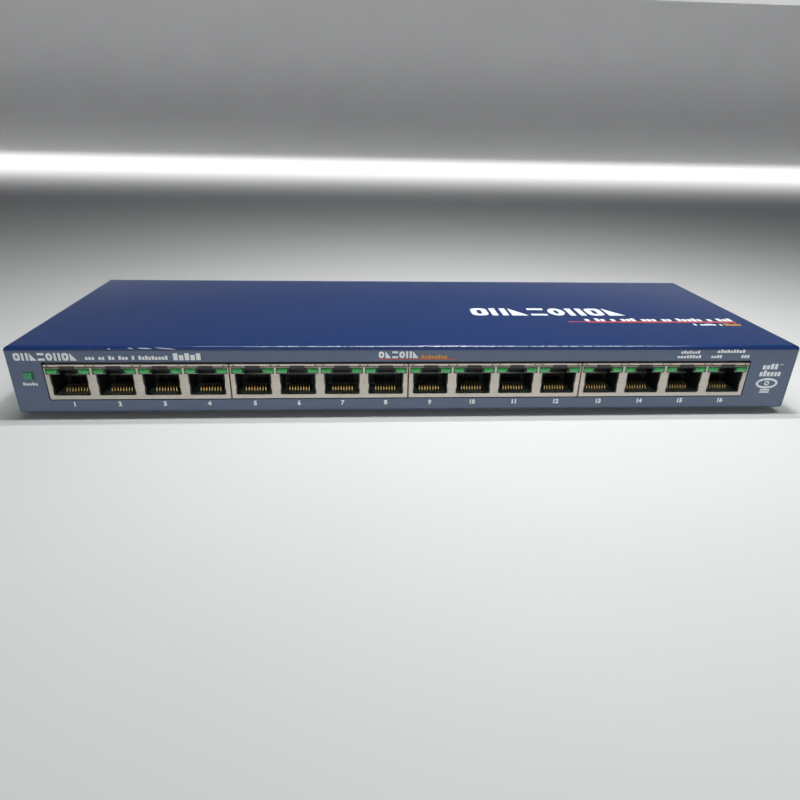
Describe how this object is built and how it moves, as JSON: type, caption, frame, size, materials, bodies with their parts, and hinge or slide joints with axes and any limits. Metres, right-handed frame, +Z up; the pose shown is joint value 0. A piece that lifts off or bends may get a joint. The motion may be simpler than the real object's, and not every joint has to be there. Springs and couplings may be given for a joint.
{
  "type": "desktop network switch",
  "caption": "Low, wide desktop network switch: sheet-metal case with a row of shielded modular jacks, each with indicators and sprung contacts, and a DC inlet at the rear.",
  "frame": {"origin": "on the table, under the centre of the case", "axes": "+Z up, the ports face -Y, +X to the right seen from the front"},
  "size_m": [0.286, 0.103, 0.027],
  "materials": {
    "cover_paint": "satin blue powder coat",
    "tray_paint": "satin grey-blue powder coat",
    "black_steel": "black-oxided screws",
    "foot_rubber": "soft black rubber",
    "post_steel": "zinc-plated steel",
    "bright_steel": "nickel-plated steel",
    "film": "polyester film",
    "board_laminate": "glass-epoxy laminate with green solder mask",
    "indicator": "translucent green epoxy",
    "light_pipe": "translucent acrylic",
    "chip_plastic": "moulded epoxy",
    "thermal_pad": "filled silicone",
    "sink_aluminium": "extruded, plain",
    "ferrite": "sintered ferrite",
    "capacitor_sleeve": "shrink sleeve",
    "chip_ceramic": "sintered ceramic",
    "inlet_plastic": "moulded nylon",
    "contact_nickel": "nickel-plated spring metal",
    "shield_tin": "tin-plated, satin",
    "jack_plastic": "moulded thermoplastic",
    "contact_gold": "gold-plated bronze"
  },
  "bodies": {
    "case": {"top_cover": "cover_paint", "base_tray": "tray_paint", "cover_screws": "black_steel", "rubber_feet": "foot_rubber", "standoffs": "post_steel", "board_screws": "bright_steel", "insulator_sheet": "film", "main_board": "board_laminate", "power_led": "indicator", "power_light_pipe": "light_pipe", "magnetics_modules": "chip_plastic", "switch_chip": "chip_plastic", "phy_chips": "chip_plastic", "thermal_pads": "thermal_pad", "heatsinks": "sink_aluminium", "settings_memory": "chip_plastic", "clock_crystals": "bright_steel", "voltage_regulators": "chip_plastic", "power_inductors": "ferrite", "electrolytic_capacitors": "capacitor_sleeve", "chip_capacitors": "chip_ceramic", "input_fuse": "chip_ceramic", "inlet_housing": "inlet_plastic", "inlet_pin": "contact_nickel", "jack_shield_1": "shield_tin", "jack_housing_1": "jack_plastic", "jack_terminals_1": "contact_nickel", "port_leds_1": "indicator", "jack_shield_2": "shield_tin", "jack_housing_2": "jack_plastic", "jack_terminals_2": "contact_nickel", "port_leds_2": "indicator", "jack_shield_3": "shield_tin", "jack_housing_3": "jack_plastic", "jack_terminals_3": "contact_nickel", "port_leds_3": "indicator", "jack_shield_4": "shield_tin", "jack_housing_4": "jack_plastic", "jack_terminals_4": "contact_nickel", "port_leds_4": "indicator"},
    "contact_set_01": {"contacts_01": "contact_gold"},
    "contact_set_02": {"contacts_02": "contact_gold"},
    "contact_set_03": {"contacts_03": "contact_gold"},
    "contact_set_04": {"contacts_04": "contact_gold"},
    "contact_set_05": {"contacts_05": "contact_gold"},
    "contact_set_06": {"contacts_06": "contact_gold"},
    "contact_set_07": {"contacts_07": "contact_gold"},
    "contact_set_08": {"contacts_08": "contact_gold"},
    "contact_set_09": {"contacts_09": "contact_gold"},
    "contact_set_10": {"contacts_10": "contact_gold"},
    "contact_set_11": {"contacts_11": "contact_gold"},
    "contact_set_12": {"contacts_12": "contact_gold"},
    "contact_set_13": {"contacts_13": "contact_gold"},
    "contact_set_14": {"contacts_14": "contact_gold"},
    "contact_set_15": {"contacts_15": "contact_gold"},
    "contact_set_16": {"contacts_16": "contact_gold"},
    "inlet_leaf": {"inlet_spring": "contact_nickel"}
  },
  "joints": [
    {"name": "contact_press_01", "type": "hinge", "parent": "case", "child": "contact_set_01", "pos_m": [-0.12333, -0.04735, 0.00872], "axis": [-1, 0, 0], "range_deg": [0, 14], "stiffness_Nm_per_rad": 0.05},
    {"name": "contact_press_02", "type": "hinge", "parent": "case", "child": "contact_set_02", "pos_m": [-0.10739, -0.04735, 0.00872], "axis": [-1, 0, 0], "range_deg": [0, 14], "stiffness_Nm_per_rad": 0.05},
    {"name": "contact_press_03", "type": "hinge", "parent": "case", "child": "contact_set_03", "pos_m": [-0.09145, -0.04735, 0.00872], "axis": [-1, 0, 0], "range_deg": [0, 14], "stiffness_Nm_per_rad": 0.05},
    {"name": "contact_press_04", "type": "hinge", "parent": "case", "child": "contact_set_04", "pos_m": [-0.07551, -0.04735, 0.00872], "axis": [-1, 0, 0], "range_deg": [0, 14], "stiffness_Nm_per_rad": 0.05},
    {"name": "contact_press_05", "type": "hinge", "parent": "case", "child": "contact_set_05", "pos_m": [-0.05905, -0.04735, 0.00872], "axis": [-1, 0, 0], "range_deg": [0, 14], "stiffness_Nm_per_rad": 0.05},
    {"name": "contact_press_06", "type": "hinge", "parent": "case", "child": "contact_set_06", "pos_m": [-0.04311, -0.04735, 0.00872], "axis": [-1, 0, 0], "range_deg": [0, 14], "stiffness_Nm_per_rad": 0.05},
    {"name": "contact_press_07", "type": "hinge", "parent": "case", "child": "contact_set_07", "pos_m": [-0.02717, -0.04735, 0.00872], "axis": [-1, 0, 0], "range_deg": [0, 14], "stiffness_Nm_per_rad": 0.05},
    {"name": "contact_press_08", "type": "hinge", "parent": "case", "child": "contact_set_08", "pos_m": [-0.01123, -0.04735, 0.00872], "axis": [-1, 0, 0], "range_deg": [0, 14], "stiffness_Nm_per_rad": 0.05},
    {"name": "contact_press_09", "type": "hinge", "parent": "case", "child": "contact_set_09", "pos_m": [0.00523, -0.04735, 0.00872], "axis": [-1, 0, 0], "range_deg": [0, 14], "stiffness_Nm_per_rad": 0.05},
    {"name": "contact_press_10", "type": "hinge", "parent": "case", "child": "contact_set_10", "pos_m": [0.02117, -0.04735, 0.00872], "axis": [-1, 0, 0], "range_deg": [0, 14], "stiffness_Nm_per_rad": 0.05},
    {"name": "contact_press_11", "type": "hinge", "parent": "case", "child": "contact_set_11", "pos_m": [0.03711, -0.04735, 0.00872], "axis": [-1, 0, 0], "range_deg": [0, 14], "stiffness_Nm_per_rad": 0.05},
    {"name": "contact_press_12", "type": "hinge", "parent": "case", "child": "contact_set_12", "pos_m": [0.05305, -0.04735, 0.00872], "axis": [-1, 0, 0], "range_deg": [0, 14], "stiffness_Nm_per_rad": 0.05},
    {"name": "contact_press_13", "type": "hinge", "parent": "case", "child": "contact_set_13", "pos_m": [0.06951, -0.04735, 0.00872], "axis": [-1, 0, 0], "range_deg": [0, 14], "stiffness_Nm_per_rad": 0.05},
    {"name": "contact_press_14", "type": "hinge", "parent": "case", "child": "contact_set_14", "pos_m": [0.08545, -0.04735, 0.00872], "axis": [-1, 0, 0], "range_deg": [0, 14], "stiffness_Nm_per_rad": 0.05},
    {"name": "contact_press_15", "type": "hinge", "parent": "case", "child": "contact_set_15", "pos_m": [0.10139, -0.04735, 0.00872], "axis": [-1, 0, 0], "range_deg": [0, 14], "stiffness_Nm_per_rad": 0.05},
    {"name": "contact_press_16", "type": "hinge", "parent": "case", "child": "contact_set_16", "pos_m": [0.11733, -0.04735, 0.00872], "axis": [-1, 0, 0], "range_deg": [0, 14], "stiffness_Nm_per_rad": 0.05},
    {"name": "inlet_leaf_press", "type": "hinge", "parent": "case", "child": "inlet_leaf", "pos_m": [0.112, 0.0391, 0.00915], "axis": [-1, 0, 0], "range_deg": [0, 8], "stiffness_Nm_per_rad": 0.05}
  ]
}
